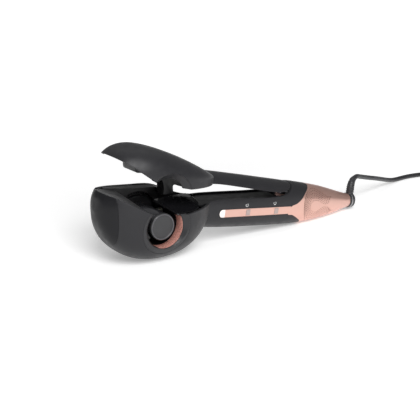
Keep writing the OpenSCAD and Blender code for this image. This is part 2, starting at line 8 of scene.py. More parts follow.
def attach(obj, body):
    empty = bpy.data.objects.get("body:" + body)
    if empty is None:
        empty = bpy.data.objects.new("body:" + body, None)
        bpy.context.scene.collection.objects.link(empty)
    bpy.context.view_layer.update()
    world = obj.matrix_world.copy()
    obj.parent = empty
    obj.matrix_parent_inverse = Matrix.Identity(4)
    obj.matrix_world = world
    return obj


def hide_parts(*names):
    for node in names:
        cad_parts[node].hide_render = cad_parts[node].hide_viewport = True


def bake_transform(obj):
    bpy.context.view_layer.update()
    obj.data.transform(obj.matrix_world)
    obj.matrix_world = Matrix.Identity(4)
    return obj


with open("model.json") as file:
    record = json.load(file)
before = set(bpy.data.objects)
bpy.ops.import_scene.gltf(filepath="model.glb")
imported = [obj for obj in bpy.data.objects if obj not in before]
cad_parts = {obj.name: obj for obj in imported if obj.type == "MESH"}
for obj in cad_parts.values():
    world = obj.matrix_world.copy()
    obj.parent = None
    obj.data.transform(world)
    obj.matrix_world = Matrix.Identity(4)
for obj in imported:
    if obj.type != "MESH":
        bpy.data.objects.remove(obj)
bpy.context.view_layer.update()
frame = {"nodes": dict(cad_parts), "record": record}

scene = bpy.context.scene
N = frame["nodes"]

# Working units of the shape code: millimetres about the middle of the barrel,
# as in part.scad.  W() turns such a point into the row frame, in metres.
XM, FZ = 99.1, -34.2
def W(p):
    return ((p[0] - XM) / 1000.0, p[1] / 1000.0, (p[2] - FZ) / 1000.0)

# ------------------------------------------------------------------ camera
CAM = np.array([-399.50, -663.71, 252.56])
AZ, EL, FPX = radians(-35.2), radians(17.5), 905.0
cam_data = bpy.data.cameras.new("camera")
cam_data.sensor_width = 36.0
cam_data.lens = 36.0 * FPX / 420.0
cam_data.clip_start, cam_data.clip_end = 0.05, 20.0
cam = bpy.data.objects.new("camera", cam_data)
scene.collection.objects.link(cam)
cam.location = W(CAM)
cam.rotation_euler = (pi / 2 - EL, 0.0, AZ)
scene.camera = cam
VD = np.array([-sin(AZ) * cos(EL), cos(AZ) * cos(EL), -sin(EL)])
VR = np.array([cos(AZ), sin(AZ), 0.0])
VU = np.cross(VR, VD)
def ray(px, py):
    """direction, in mm space, of the line of sight through a point of the 420 x 420 frame"""
    d = VD + VR * (px - 210.0) / FPX - VU * (py - 210.0) / FPX
    return d / np.linalg.norm(d)

# ------------------------------------------------------------------ materials
def nt(name):
    m = bpy.data.materials.new(name)
    m.use_nodes = True
    t = m.node_tree
    t.nodes.clear()
    out = t.nodes.new("ShaderNodeOutputMaterial")
    b = t.nodes.new("ShaderNodeBsdfPrincipled")
    t.links.new(b.outputs["BSDF"], out.inputs["Surface"])
    return m, t, b

def noise(t, scale, detail=4.0, rough=0.55, stretch=None):
    tc = t.nodes.new("ShaderNodeTexCoord")
    n = t.nodes.new("ShaderNodeTexNoise")
    n.inputs["Scale"].default_value = scale
    n.inputs["Detail"].default_value = detail
    n.inputs["Roughness"].default_value = rough
    if stretch:
        mp = t.nodes.new("ShaderNodeMapping")
        mp.inputs["Scale"].default_value = stretch
        t.links.new(tc.outputs["Object"], mp.inputs["Vector"])
        t.links.new(mp.outputs["Vector"], n.inputs["Vector"])
    else:
        t.links.new(tc.outputs["Object"], n.inputs["Vector"])
    return n

def ramp(t, src, a, b, lo=0.35, hi=0.65):
    r = t.nodes.new("ShaderNodeMapRange")
    r.inputs["From Min"].default_value = lo
    r.inputs["From Max"].default_value = hi
    r.inputs["To Min"].default_value = a
    r.inputs["To Max"].default_value = b
    t.links.new(src, r.inputs["Value"])
    return r.outputs["Result"]

def moulded(name, base, rough=0.45, grain=1800.0, depth=0.03, edge=0.00035, metallic=0.0,
            coat=0.0, coat_rough=0.1, spec=0.5, vary=0.06, sheen=0.0, stretch=None, drough=0.06):
    """Moulded plastic or metal: fine grain in the surface, slow changes of tone and gloss, soft edges."""
    m, t, b = nt(name)
    b.inputs["Metallic"].default_value = metallic
    b.inputs["Specular IOR Level"].default_value = spec
    b.inputs["Coat Weight"].default_value = coat
    b.inputs["Coat Roughness"].default_value = coat_rough
    if sheen:
        b.inputs["Sheen Weight"].default_value = sheen
        b.inputs["Sheen Roughness"].default_value = 0.5
    slow = noise(t, 28.0, 3.0)
    mix = t.nodes.new("ShaderNodeMix")
    mix.data_type = "RGBA"
    lo = [max(c * (1 - vary), 0) for c in base]
    hi = [min(c * (1 + vary), 1) for c in base]
    mix.inputs[6].default_value = (*lo, 1)
    mix.inputs[7].default_value = (*hi, 1)
    t.links.new(ramp(t, slow.outputs["Fac"], 0, 1), mix.inputs[0])
    t.links.new(mix.outputs[2], b.inputs["Base Color"])
    mid = noise(t, 150.0, 4.0)
    t.links.new(ramp(t, mid.outputs["Fac"], rough - drough, rough + drough), b.inputs["Roughness"])
    fine = noise(t, grain, 2.0, 0.6, stretch)
    bump = t.nodes.new("ShaderNodeBump")
    bump.inputs["Strength"].default_value = 1.0
    bump.inputs["Distance"].default_value = depth / 1000.0
    t.links.new(fine.outputs["Fac"], bump.inputs["Height"])
    if edge:
        bev = t.nodes.new("ShaderNodeBevel")
        bev.samples = 4
        bev.inputs["Radius"].default_value = edge
        t.links.new(bev.outputs["Normal"], bump.inputs["Normal"])
    t.links.new(bump.outputs["Normal"], b.inputs["Normal"])
    return m

def pebbled_painted_shade(name, base, rough=0.3, metallic=0.9):
    """Metal-look plastic with a fine pebbled texture; its colour is painted lighter on the pebble tops and darker in
    the hollows: painted highlight and painted shade.
    """
    m, t, b = nt(name)
    b.inputs["Metallic"].default_value = metallic
    tc = t.nodes.new("ShaderNodeTexCoord")
    v = t.nodes.new("ShaderNodeTexVoronoi")
    v.inputs["Scale"].default_value = 1300.0
    t.links.new(tc.outputs["Object"], v.inputs["Vector"])
    # painted highlight and painted shade: 1.15 times the base on the pebble tops, about half of it in the hollows that
    # the bump sinks
    mix = t.nodes.new("ShaderNodeMix")
    mix.data_type = "RGBA"
    mix.inputs[6].default_value = (base[0] * 1.15, base[1] * 1.15, base[2] * 1.15, 1)
    mix.inputs[7].default_value = (base[0] * 0.55, base[1] * 0.5, base[2] * 0.5, 1)
    t.links.new(ramp(t, v.outputs["Distance"], 0, 1, 0.2, 0.7), mix.inputs[0])
    t.links.new(mix.outputs[2], b.inputs["Base Color"])
    n = noise(t, 400.0)
    t.links.new(ramp(t, n.outputs["Fac"], rough - 0.08, rough + 0.1), b.inputs["Roughness"])
    bump = t.nodes.new("ShaderNodeBump")
    bump.inputs["Distance"].default_value = 0.00018
    t.links.new(v.outputs["Distance"], bump.inputs["Height"])
    bump.invert = True
    t.links.new(bump.outputs["Normal"], b.inputs["Normal"])
    return m

M = {
    "soft_black": moulded("soft_touch_black", (0.0185, 0.0183, 0.0205), 0.42, 2600, 0.012, 0.0006, spec=0.27, vary=0.05, sheen=0.02),
    # painted shade: the nose panel is a darker copy of the soft-touch black, because the nose faces away from the light
    "nose_black": moulded("nose_black", (0.0095, 0.0095, 0.011), 0.40, 2600, 0.012, 0.0005, spec=0.2),
    "liner_black": moulded("liner_black", (0.006, 0.006, 0.007), 0.40, 1800, 0.02, 0.0004, spec=0.4),
    "bezel_grey": moulded("bezel_grey", (0.024, 0.024, 0.026), 0.36, 2400, 0.012, 0.0006, spec=0.35),
    "gloss_black": moulded("gloss_black", (0.006, 0.006, 0.007), 0.10, 300, 0.004, 0.0005, coat=0.5, coat_rough=0.05, drough=0.03),
    "cap_grey": moulded("cap_grey", (0.027, 0.027, 0.029), 0.42, 2000, 0.015, 0.0005),
    "rose_gold": moulded("rose_gold", (0.72, 0.445, 0.375), 0.34, 3000, 0.006, 0.0, metallic=0.8, coat=0.2, coat_rough=0.2, vary=0.02, drough=0.04),
    "barrel_ceramic": moulded("barrel_ceramic", (0.07, 0.07, 0.08), 0.22, 900, 0.008, 0.0003, metallic=0.7, coat=0.3),
    "heater_ceramic": moulded("heater_ceramic", (0.70, 0.65, 0.56), 0.6, 1400, 0.03, 0.0003),
    "gear_nylon": moulded("gear_nylon", (0.74, 0.71, 0.62), 0.4, 1500, 0.015, 0.0002),
    "steel": moulded("steel_brushed", (0.55, 0.55, 0.57), 0.32, 1200, 0.01, 0.0002, metallic=1.0, stretch=(1, 14, 1)),
    "motor_can": moulded("motor_zinc", (0.50, 0.51, 0.53), 0.38, 900, 0.01, 0.0003, metallic=1.0),
    "brass": moulded("brass_machined", (0.78, 0.58, 0.26), 0.28, 1200, 0.008, 0.0002, metallic=1.0),
    "light_window": moulded("frosted_window", (0.93, 0.84, 0.80), 0.30, 1800, 0.008, 0.0003, coat=0.4),
    "key_grey": moulded("key_satin", (0.42, 0.33, 0.31), 0.34, 2400, 0.008, 0.0003, metallic=0.35),
    "board_green": moulded("board_green", (0.02, 0.12, 0.06), 0.3, 700, 0.02, 0.0001, coat=0.5),
    "collar_black": moulded("collar_black", (0.030, 0.030, 0.032), 0.36, 1500, 0.012, 0.0006),
    "cord_rubber": moulded("cord_rubber", (0.024, 0.024, 0.027), 0.42, 1300, 0.03, 0.0, spec=0.5, vary=0.1),
    "tie_grey": moulded("tie_grey", (0.05, 0.05, 0.05), 0.6, 1500, 0.05, 0.0003),
    "plug_black": moulded("plug_black", (0.022, 0.022, 0.024), 0.38, 1500, 0.02, 0.0006),
    "pin_metal": moulded("pin_nickel", (0.74, 0.71, 0.66), 0.22, 600, 0.004, 0.0002, metallic=1.0),
}
MX = {
    "ring": pebbled_painted_shade("rose_pebbled_painted_shade", (0.92, 0.46, 0.38), 0.35, 0.35),
    "print": moulded("printed_white", (0.70, 0.70, 0.70), 0.5, 1500, 0.002, 0.0),
    "print_dark": moulded("printed_grey", (0.25, 0.17, 0.15), 0.5, 1500, 0.002, 0.0),
    "groove": moulded("cap_groove", (0.11, 0.11, 0.12), 0.25, 1500, 0.004, 0.0002, metallic=0.4),
}
SLOT = {s["node"]: s["material_slot"] for s in frame["record"]["subparts"]}
for name, ob in N.items():
    mat = M[SLOT[name]]
    if name == "chamber_ring":
        mat = MX["ring"]
    if name in ("rotor", "barrel_carrier", "rotor_gear", "gear_housing", "chamber_liner"):
        mat = M["liner_black"]
    ob.data.materials.clear()
    ob.data.materials.append(mat)
    for p in ob.data.polygons:
        p.material_index = 0

# ------------------------------------------------------------------ mesh tools (mm)
def mk(name, verts, faces):
    me = bpy.data.meshes.new(name)
    me.from_pydata([tuple(map(float, v)) for v in verts], [], [tuple(int(i) for i in f) for f in faces])
    me.validate()
    bm = bmesh.new(); bm.from_mesh(me)
    bmesh.ops.recalc_face_normals(bm, faces=bm.faces)
    bm.to_mesh(me); bm.free()
    ob = bpy.data.objects.new(name, me)
    scene.collection.objects.link(ob)
    return ob

def loft(rings, name="t", closed=False):
    rings = np.asarray(rings, float)
    m, n = rings.shape[:2]
    f = []
    for j in range(m if closed else m - 1):
        k = (j + 1) % m
        for i in range(n):
            f.append((j * n + i, j * n + (i + 1) % n, k * n + (i + 1) % n, k * n + i))
    if not closed:
        f.append(tuple(range(n))[::-1])
        f.append(tuple((m - 1) * n + i for i in range(n)))
    return mk(name, rings.reshape(-1, 3), f)

def prism(poly, y0, y1, name="t"):
    """side-view outline (x, z) swept from y0 to y1"""
    n = len(poly)
    v = [(x, y0, z) for x, z in poly] + [(x, y1, z) for x, z in poly]
    f = [(i, (i + 1) % n, n + (i + 1) % n, n + i) for i in range(n)]
    f += [tuple(range(n))[::-1], tuple(range(n, 2 * n))]
    return mk(name, v, f)

def vprism(poly, z0, z1, name="t"):
    n = len(poly)
    v = [(x, y, z0) for x, y in poly] + [(x, y, z1) for x, y in poly]
    f = [(i, (i + 1) % n, n + (i + 1) % n, n + i) for i in range(n)]
    f += [tuple(range(n))[::-1], tuple(range(n, 2 * n))]
    return mk(name, v, f)

def ycyl(r, y0, y1, c=(0, 0), n=144, r1=None):
    r1 = r if r1 is None else r1
    ring = lambda rr, y: [(c[0] + rr * cos(2 * pi * i / n), y, c[1] + rr * sin(2 * pi * i / n)) for i in range(n)]
    return loft([ring(r, y0), ring(r1, y1)])

def box(x0, x1, y0, y1, z0, z1):
    return prism([(x0, z0), (x1, z0), (x1, z1), (x0, z1)], y0, y1)

def drop(o):
    me = o.data
    bpy.data.objects.remove(o)
    if me.users == 0:
        bpy.data.meshes.remove(me)

def boole(a, b, op, keep=False):
    for solver in ("MANIFOLD", "EXACT"):
        md = a.modifiers.new("b", "BOOLEAN")
        md.operation, md.object = op, b
        try:
            md.solver = solver
        except TypeError:
            a.modifiers.clear(); continue
        bpy.context.view_layer.update()
        dg = bpy.context.evaluated_depsgraph_get()
        me = bpy.data.meshes.new_from_object(a.evaluated_get(dg), depsgraph=dg)
        a.modifiers.clear()
        same = op == "DIFFERENCE" and len(me.vertices) == len(a.data.vertices) and len(me.polygons) == len(a.data.polygons)
        if len(me.polygons) and not (same and solver == "MANIFOLD"):
            break
        if solver == "EXACT":
            break
        bpy.data.meshes.remove(me)
    old = a.data
    a.data = me
    if old.users == 0:
        bpy.data.meshes.remove(old)
    if not keep:
        drop(b)
    return a

def sub(a, *bs):
    for b in bs: boole(a, b, "DIFFERENCE")
    return a
def inter(a, *bs):
    for b in bs: boole(a, b, "INTERSECT")
    return a
def join(a, *bs):
    for b in bs: boole(a, b, "UNION")
    return a
def dup(o):
    c = o.copy(); c.data = o.data.copy()
    scene.collection.objects.link(c)
    return c

def islands(o, keep_min=0.02):
    """drops stray slivers: connected parts much smaller than the largest"""
    bm = bmesh.new(); bm.from_mesh(o.data)
    seen, groups = set(), []
    for v in bm.verts:
        if v.index in seen: continue
        st, g = [v], []
        seen.add(v.index)
        while st:
            q = st.pop(); g.append(q)
            for e in q.link_edges:
                w = e.other_vert(q)
                if w.index not in seen:
                    seen.add(w.index); st.append(w)
        groups.append(g)
    big = max(len(g) for g in groups)
    dead = [v for g in groups if len(g) < keep_min * big for v in g]
    if dead: bmesh.ops.delete(bm, geom=dead, context="VERTS")
    bm.to_mesh(o.data); bm.free()
    return o

def eased(o, w, seg=3, ang=35):
    md = o.modifiers.new("bev", "BEVEL")
    md.width, md.segments, md.limit_method, md.angle_limit = w, seg, "ANGLE", radians(ang)
    md.harden_normals = False
    bpy.context.view_layer.update()
    dg = bpy.context.evaluated_depsgraph_get()
    me = bpy.data.meshes.new_from_object(o.evaluated_get(dg), depsgraph=dg)
    o.modifiers.clear(); old = o.data; o.data = me; bpy.data.meshes.remove(old)
    return o

def done(o, name, mat, body, *cad, slot=None, angle=32, merge=0.004):
    """cleans a shape made in mm, brings it into the row frame and rides it on its body"""
    bm = bmesh.new(); bm.from_mesh(o.data)
    bmesh.ops.remove_doubles(bm, verts=bm.verts, dist=merge)
    bmesh.ops.dissolve_degenerate(bm, dist=merge, edges=bm.edges)
    loose = [v for v in bm.verts if not v.link_faces]
    if loose: bmesh.ops.delete(bm, geom=loose, context="VERTS")
    bm.to_mesh(o.data); bm.free()
    o.name = name; o.data.name = name
    co = np.empty(len(o.data.vertices) * 3)
    o.data.vertices.foreach_get("co", co)
    co = co.reshape(-1, 3)
    co = np.stack([(co[:, 0] - XM) / 1000, co[:, 1] / 1000, (co[:, 2] - FZ) / 1000], 1)
    o.data.vertices.foreach_set("co", co.reshape(-1))
    o.data.materials.clear()
    o.data.materials.append(mat)
    o.data.polygons.foreach_set("material_index", [0] * len(o.data.polygons))
    o.data.polygons.foreach_set("use_smooth", [True] * len(o.data.polygons))
    o.data.set_sharp_from_angle(angle=radians(angle))
    o.data.update()
    if body:
        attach(o, body)
    if cad:
        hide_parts(*cad)
    return o

# ------------------------------------------------------------------ outer form
EX, EZ, HF, HR, HW, HD, WALL = 5.5, 17.5, 59.0, 58.0, 36.0, 51.5, 2.2
def spow(v, e):
    return np.sign(v) * np.abs(v) ** e
def egg_s(x, g):
    a = (HF if x < EX else HR) - g
    u = min(abs(x - EX) / a, 1)
    return sqrt(max(1 - u ** (2.37 if x < EX else 2.13), 0))
def ridge(x):
    return 27 * (sqrt(max(1 - ((-20 - x) / 34) ** 2.2, 0)) if x < -20 else max(1 - ((x + 20) / 84) ** 1.55, 0.03))
def egg_ring(x, g, n):
    s = max(egg_s(x, g), 0.03)
    w, c, h = (HW - g) * s, (HD - g) * s, max(ridge(x) - g, 0.6) * min(1, s / 0.35)
    t = 2 * pi * np.arange(n) / n
    ct, st = np.cos(t), np.sin(t)
    lo = st < 0
    z = np.where(lo, c * spow(st, 2 / 2.8), h * spow(st, 2 / 2.3))
    return np.stack([np.full(n, x), w * spow(ct, 2 / 2.8), EZ + z], 1)
def even_ring(r, n):
    """the same closed ring with its points spread evenly"""
    q = np.vstack([r, r[:1]])
    d = np.concatenate([[0], np.cumsum(np.linalg.norm(np.diff(q, axis=0), axis=1))])
    s = np.linspace(0, d[-1], n, endpoint=False)
    return np.stack([np.interp(s, d, q[:, k]) for k in range(3)], 1)
def egg(g=0.0, n=120, m=84):
    us = [-cos(pi * j / m) for j in range(m + 1)]
    return loft([even_ring(egg_ring(EX + u * ((HF if u < 0 else HR) - g), g, 720), n) for u in us])
TOP = [(40, 23.5), (53, 21.8), (76, 19.5), (100, 17.1), (125, 14.4), (152, 11.4), (165, 9.6), (176, 6.6), (189, 3), (202, -1), (216, -6.2), (231, -12.2), (243.5, -17)]
BOT = [(40, -12), (58, -17.3), (88, -22.8), (113, -26.6), (138, -30.2), (163, -33.2), (178, -34.1), (190, -34.2), (204, -34.1), (218, -33.5), (232, -32), (243.5, -31.2)]
WID = [(40, 18.5), (60, 18), (150, 18.6), (178, 18.5), (190, 17.6), (205, 15.6), (218, 13.2), (232, 9.9), (243.5, 7.3)]
def smooth(t, x):
    if x <= t[0][0]: return t[0][1]
    if x >= t[-1][0]: return t[-1][1]
    i = max(k for k in range(len(t) - 1) if t[k][0] <= x)
    def sl(k):
        a, b = max(k - 1, 0), min(k + 1, len(t) - 1)
        return (t[b][1] - t[a][1]) / (t[b][0] - t[a][0])
    h = t[i + 1][0] - t[i][0]; u = (x - t[i][0]) / h
    return (t[i][1] * (2 * u ** 3 - 3 * u ** 2 + 1) + sl(i) * h * (u ** 3 - 2 * u ** 2 + u)
            + t[i + 1][1] * (3 * u ** 2 - 2 * u ** 3) + sl(i + 1) * h * (u ** 3 - u ** 2))
def grip_ring(x, g, n):
    a, b, w = smooth(TOP, x) - g, smooth(BOT, x) + g, smooth(WID, x) - g
    m, h = (a + b) / 2, (a - b) / 2
    e = 2.4 if x < 180 else 2.4 - (x - 180) / 63.5 * 0.35
    t = 2 * pi * np.arange(n) / n
    return np.stack([np.full(n, x), w * spow(np.cos(t), 2 / e), m + h * spow(np.sin(t), 2 / e)], 1)
def grip(g=0.0, x0=40.0, x1=243.5, n=96, m=70):
    return loft([even_ring(grip_ring(x0 + (x1 - x0) * j / m, g, 720), n) for j in range(m + 1)])

PART_N = [(-60, 38), (-48.5, 34), (-43.5, 32.2), (-35, 28), (-27, 23.2), (-17.5, 17.7), (-8, 13.5), (4, 10.8), (16, 10), (45, 10.5), (65, 10.2), (94, 6.8), (118, 3.6), (136, 1.7), (146, 1.6), (153, 3.4), (158.5, 7.2), (162, 12), (163, 20)]
PART_F = [(-60, 38), (-48.5, 34), (-35, 30.5), (-15, 27), (0, 25), (22, 22.5), (38, 16), (50, 11), (65, 10.2), (94, 6.8), (118, 3.6), (136, 1.7), (146, 1.6), (153, 3.4), (158.5, 7.2), (162, 12), (163, 20)]
FAR = 19.2
def fair(p, k=6):
    """smooth line through points"""
    out = []
    for i in range(len(p) - 1):
        a = np.array(p[max(i - 1, 0)], float); b = np.array(p[i], float)
        c = np.array(p[i + 1], float); d = np.array(p[min(i + 2, len(p) - 1)], float)
        for j in range(k):
            t = j / k
            q = 0.5 * (2 * b + (c - a) * t + (2 * a - 5 * b + 4 * c - d) * t * t + (3 * b - a - 3 * c + d) * t ** 3)
            out.append(tuple(q))
    out.append(tuple(map(float, p[-1])))
    return out
FN, FF = fair(PART_N), fair(PART_F)
def sh(p, dz): return [(x, z + dz) for x, z in p]
def below(p, y0, y1, dz=0.0):
    return prism(sh(p, dz) + [(200, 20), (200, -60), (-60, -60)], y0, y1)
def body_zone(dz=0.0):
    return join(below(FN, -60, FAR + 0.02, dz), below(FF, FAR, 60, dz))
def lid_line(p):
    return [(x, z + 1.2) for x, z in p if x < 140] + [(145, 3.1), (148.4, 3.7), (151, 4.8), (153.8, 6.2), (156, 8), (157.8, 9.9), (158.8, 12), (159.3, 16), (159.5, 60), (-60, 60)]
LN, LF = lid_line(FN), lid_line(FF)
def lid_zone():
    return join(prism(LN, -60, FAR), prism(LF, FAR - 0.02, 60))
LOBE = fair([(190, 20), (187, 8), (184, 4.5), (180, 3), (172.5, -1), (167, -5.5), (160.5, -9), (154, -10.4), (150, -14.2), (150, -18.5), (155.5, -20), (162.5, -24.7), (169.5, -30.8), (173, -40)])
def tail_zone(d=0.0):
    return prism([(x + d, z) for x, z in LOBE] + [(260, -40), (260, 20)], -40, 40)
TH = radians(7.7)
STRIP_H, STRIP_L = 7.4, 86.0
def on_strip(o, s=0.0):
    """moves a shape drawn along the control strip (u along it, v up) into place"""
    me = o.data
    for v in me.vertices:
        u, y, w = v.co
        v.co = (67 + (s + u) * cos(TH) + w * sin(TH), y, -2.5 - (s + u) * sin(TH) + w * cos(TH))
    me.update()
    return o
def stadium(d=0.0, y0=-24, y1=-12):
    r = STRIP_H / 2
    p = [(r + (r + d) * cos(a), (r + d) * sin(a)) for a in np.linspace(pi / 2, 3 * pi / 2, 33)]
    p += [(STRIP_L, -r - d), (STRIP_L, r + d)]
    return on_strip(prism(p, y0, y1))

BEZ, CH = 23.5, 18.2
def form(m_g=0.0):
    return join(egg(m_g), grip(m_g))

# ------------------------------------------------------------------ body shells
outer = form()
hollow_e, hollow_g = egg(WALL), grip(WALL, 38, 247)
body = inter(dup(outer), body_zone())
boole(body, hollow_e, "DIFFERENCE", keep=True)
boole(body, hollow_g, "DIFFERENCE", keep=True)
sub(body, tail_zone())
nose = inter(dup(body), box(-92, -42.1, -50, 50, -60, 60))
sub(body, box(-92, -42, -50, 50, -60, 60), ycyl(BEZ + 0.15, -50, -15), stadium(0.12))
near = inter(dup(body), box(-80, 220, -60, -0.04, -60, 60))
far = inter(body, box(-80, 220, 0.04, 60, -60, 60))
done(islands(near), "shell_near", M["soft_black"], "root", "housing_near", slot="soft_black")
done(islands(far), "shell_far", M["soft_black"], "root", "housing_far", slot="soft_black")
# the nose cover is a real panel; its darker black is painted shade
done(islands(nose), "nose_cover", M["nose_black"], "root", "nose_panel", slot="nose_black")

# flat band round the mouth of the chamber
def at_x(line, x):
    return float(np.interp(x, [q[0] for q in line], [q[1] for q in line]))
def ruled(n_line, f_line, dz, up, y0=-45.0, y1=45.0, x0=-60.0, x1=50.0, n=80):
    """everything under (or over) the surface that runs straight from the near line to the far line"""
    xs = [x0 + (x1 - x0) * i / n for i in range(n + 1)]
    def ring(y):
        q = [(x, y, at_x(n_line, x) + (at_x(f_line, x) - at_x(n_line, x)) * (y + 30) / 60 + dz) for x in xs]
        z = 90 if up else -60
        return q + [(x1, y, z), (x0, y, z)]
    m = 18
    return loft([ring(y0 + (y1 - y0) * j / m) for j in range(m + 1)])
WIN = [(-23.0, 22), (-22.2, 14), (-21.4, 6), (-20.6, -2), (-19.9, -10), (-19.4, -18), (-18.9, -25), (-18.4, -31), (47, -31), (47, 22)]
rim = inter(egg(WALL + 0.05), ruled(FN, FF, -0.05, False))
sub(rim, ruled(FN, FF, -2.2, False, -46, 46, -61, 51), vprism(WIN, -60, 60), ycyl(BEZ + 0.2, -50, -15), box(19, 79, -60, 60, -60, 60), box(-80, 80, FAR - 0.3, 60, -60, 60))
done(islands(rim, 0.2), "mouth_band", M["soft_black"], "root", "chamber_rim", slot="soft_black")

# bevel round the side opening
bz = inter(egg(0.05), ycyl(BEZ, -40, -24.6), below(FN, -60, 0, -0.05))
sub(bz, ycyl(CH - 0.2, -41, -20), ycyl(CH + 1.45, -29.65, -20), ycyl(CH - 0.3, -29.2, -36.8, r1=BEZ + 1.4), box(0, 40, -29.65, -20, 7.8, 38))
done(islands(bz), "opening_bevel", M["bezel_grey"], "root", "opening_bezel", slot="bezel_grey")

# ring inside the opening: a pebbled rose-gold crescent; the rest of the rose-gold ring is painted shade, a sector drawn
# in the black liner
def sector(r0, r1, y0, y1, a0, a1, n=90):
    out = []
    for i in range(n + 1):
        t = radians(a0 + (a1 - a0) * i / n)
        out.append([(r0 * cos(t), y0, r0 * sin(t)), (r1 * cos(t), y0, r1 * sin(t)), (r1 * cos(t), y1, r1 * sin(t)), (r0 * cos(t), y1, r0 * sin(t))])
    return loft(out)
crescent = sector(CH, CH + 1.3, -29.6, -19.4, -112, 24)
crescent = eased(crescent, 0.12, 2)
done(crescent, "ring_rose", MX["ring"], "root", "chamber_ring", slot="rose_gold")
# painted shade: this part of the rose-gold ring is drawn black
done(sector(CH + 0.05, CH + 1.3, -29.5, -19.4, -222, -112.4), "ring_painted_shade", M["liner_black"], "root", slot="liner_black")

# ------------------------------------------------------------------ lid and lever
HINGE = np.array([158.0, 0.0, 1.0])
LID = radians(8.8)
def opened(o):
    for v in o.data.vertices:
        x, y, z = v.co
        dx, dz = x - 158, z - 1
        v.co = (158 + dx * cos(LID) + dz * sin(LID), y, 1 - dx * sin(LID) + dz * cos(LID))
    o.data.update()
    return o
lid = inter(outer, lid_zone())
boole(lid, hollow_e, "DIFFERENCE")
boole(lid, hollow_g, "DIFFERENCE")
arm = inter(dup(lid), box(52.08, 172, -50, 50, -20, 60))
cover = inter(lid, box(-60, 52, -50, 50, -20, 60))
sub(cover, ycyl(BEZ + 0.15, -50, -15, c=(0, 2)))
done(opened(islands(cover)), "lid_top", M["soft_black"], "lid", "lid_cover", slot="soft_black")
done(opened(islands(arm)), "lever_top", M["soft_black"], "lid", "lever_arm", slot="soft_black")
lb = inter(egg(0.05), ycyl(BEZ, -40, -28, c=(0, 2)), prism(LN, -60, 0))
sub(lb, ycyl(CH + 0.2, -41, -20, c=(0, 2)), ycyl(CH, -29.2, -36.8, c=(0, 2), r1=BEZ + 1.4))
done(opened(islands(lb)), "lid_arch", M["bezel_grey"], "lid", "lid_bezel", slot="bezel_grey")

def arc(r, a0, a1, n=40):
    return [(r * cos(radians(a0 + (a1 - a0) * i / n)), r * sin(radians(a0 + (a1 - a0) * i / n))) for i in range(n + 1)]

liner = inter(egg(WALL + 0.3), ruled(LN, LF, 0.0, True), box(-60, 48, -60, FAR - 0.5, -20, 80))
sub(liner, ruled(LN, LF, 2.2, True, -46, 46, -61, 51))
bulk = inter(egg(WALL + 0.3), ruled(LN, LF, 0.05, True), box(-60, 48, FAR - 1.9, FAR - 0.55, -20, 80))
nosep = prism([(-20.6, 30), (-19.8, 26), (-19.4, 23.2), (-18.9, 21.2), (-18, 20.0), (-16.6, 19.5), (-9, 19.4), (-9, 28)], -4, 17.2)
join(liner, bulk, nosep)
sub(liner, ycyl(BEZ + 0.4, -50, -26, c=(0, 2)), ycyl(CH + 0.6, -26.2, 30), box(10, 41.6, 4.8, 17.25, 0, 30), box(10, 46, -40, 4.9, 0, 30))
done(opened(islands(liner)), "lid_underside", M["liner_black"], "lid", "lid_liner", slot="liner_black")

plate = inter(grip(WALL + 0.1, 52.6, 145.6, m=40), prism(LN, -40, 40))
sub(plate, prism(sh(LN, 1.8), -41, 41))
done(opened(islands(plate)), "lever_underside", M["liner_black"], "lid", "lever_plate", slot="liner_black")
tray = inter(grip(WALL + 0.1, 47, 143, m=40), below(FN, -60, 60, -1.6))
sub(tray, below(FN, -61, 61, -3.4))
done(islands(tray), "handle_tray", M["liner_black"], "root", "lever_tray", slot="liner_black")

# guide shoe: a forked ramp that steers the hair; edges eased
shoe = prism(arc(19.2, -9, 78, 44) + [(5, 24), (9, 26), (14, 26.6), (20, 24.6)] + fair([(27, 20), (36, 15.6), (40.6, 13.2), (41.0, 9), (40.2, 5.2), (38.6, 4.6), (34, 5.6), (30.6, 6.4), (29, 5.6), (29.2, 3), (29.9, 0)], 3) + [(29.4, -2.2)], 5, 17)
shoe = eased(shoe, 0.5)
flange = eased(prism([(36, 14), (45, 14), (45, 15.5), (36, 15.6)], 5.02, 16.98), 0.2, 2)
join(shoe, flange)
done(opened(shoe), "shoe_guide", M["liner_black"], "lid", "guide_shoe", slot="liner_black")

# glossy deck beside the barrel
dk = [(14, 0), (12.2, 8), (10, 18), (7.4, 29.6), (8.6, 31.5), (24, 31.5), (42, 31.5), (43.4, 30), (45, 20), (44.6, 14), (43, 9), (40.6, 5.2), (38, 3), (34.6, 0.9), (31, 0)]
deck = vprism(dk, 0, 1.8)
deck = eased(deck, 0.35, 3)
for v in deck.data.vertices:
    x, y, z = v.co
    a = radians(13)
    v.co = (x, -28 + y * cos(a) - z * sin(a), 8.4 + y * sin(a) + z * cos(a))
done(deck, "deck_gloss", M["gloss_black"], "root", "deck_plate", slot="gloss_black")

# barrel cap: disc, fine groove and bright lip
def lathe(prof, y_of=lambda v: v, n=160):
    """profile (radius, y) turned about the barrel axis"""
    return loft([[(r * cos(2 * pi * i / n), y, r * sin(2 * pi * i / n)) for i in range(n)] for r, y in prof])
cap = lathe([(0.05, -25.62), (5, -25.62), (9.6, -25.60), (9.95, -25.55), (10.1, -25.42), (10.3, -25.42), (10.45, -25.55), (10.7, -25.9), (11.1, -26.0), (11.6, -25.98), (11.95, -25.8), (12.2, -25.4), (12.25, -25.0), (12.25, -23.0), (12.1, -22.7), (10.5, -22.7), (10.5, -19.0), (8.6, -19.0), (8.6, -21.6), (0.05, -21.6)])
done(cap, "cap_disc", M["cap_grey"], "root", "barrel_cap", slot="cap_grey", angle=50)
lip = loft([[(r * cos(2 * pi * i / 160), y, r * sin(2 * pi * i / 160)) for i in range(160)] for r, y in
            [(10.72, -25.93), (10.98, -26.0), (11.35, -26.0), (11.35, -25.9), (10.98, -25.88), (10.72, -25.85)]], closed=True)
done(lip, "cap_lip", MX["groove"], "root", slot="cap_grey")

